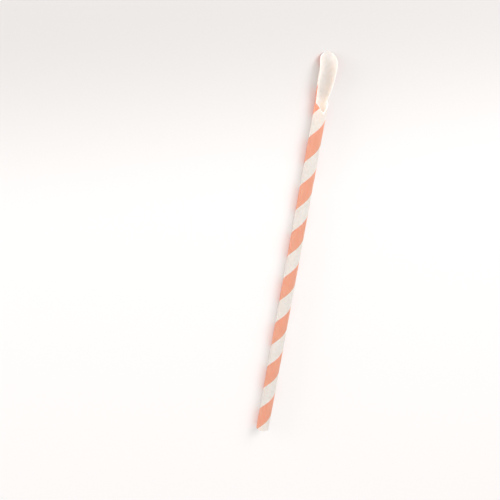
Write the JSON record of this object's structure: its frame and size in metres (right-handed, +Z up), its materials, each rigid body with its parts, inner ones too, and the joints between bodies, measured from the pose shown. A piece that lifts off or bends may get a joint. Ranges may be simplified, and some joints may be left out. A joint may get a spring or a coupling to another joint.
{
  "type": "paper drinking straw with a spoon end",
  "caption": "Spiral-wound paper drinking straw, one end cut square, the other slit and flared into a half-round spoon with a rounded tip.",
  "frame": {"origin": "under the middle of the straw's length, on the surface that it lies on", "axes": "+X along the straw from the plain end to the spoon's tip, +Z up, the way the spoon opens"},
  "size_m": [0.197, 0.009, 0.006],
  "materials": {
    "striped_paper": "smooth uncoated paper, coral and white stripe"
  },
  "bodies": {
    "root": {"paper_straw": "striped_paper"}
  },
  "joints": []
}
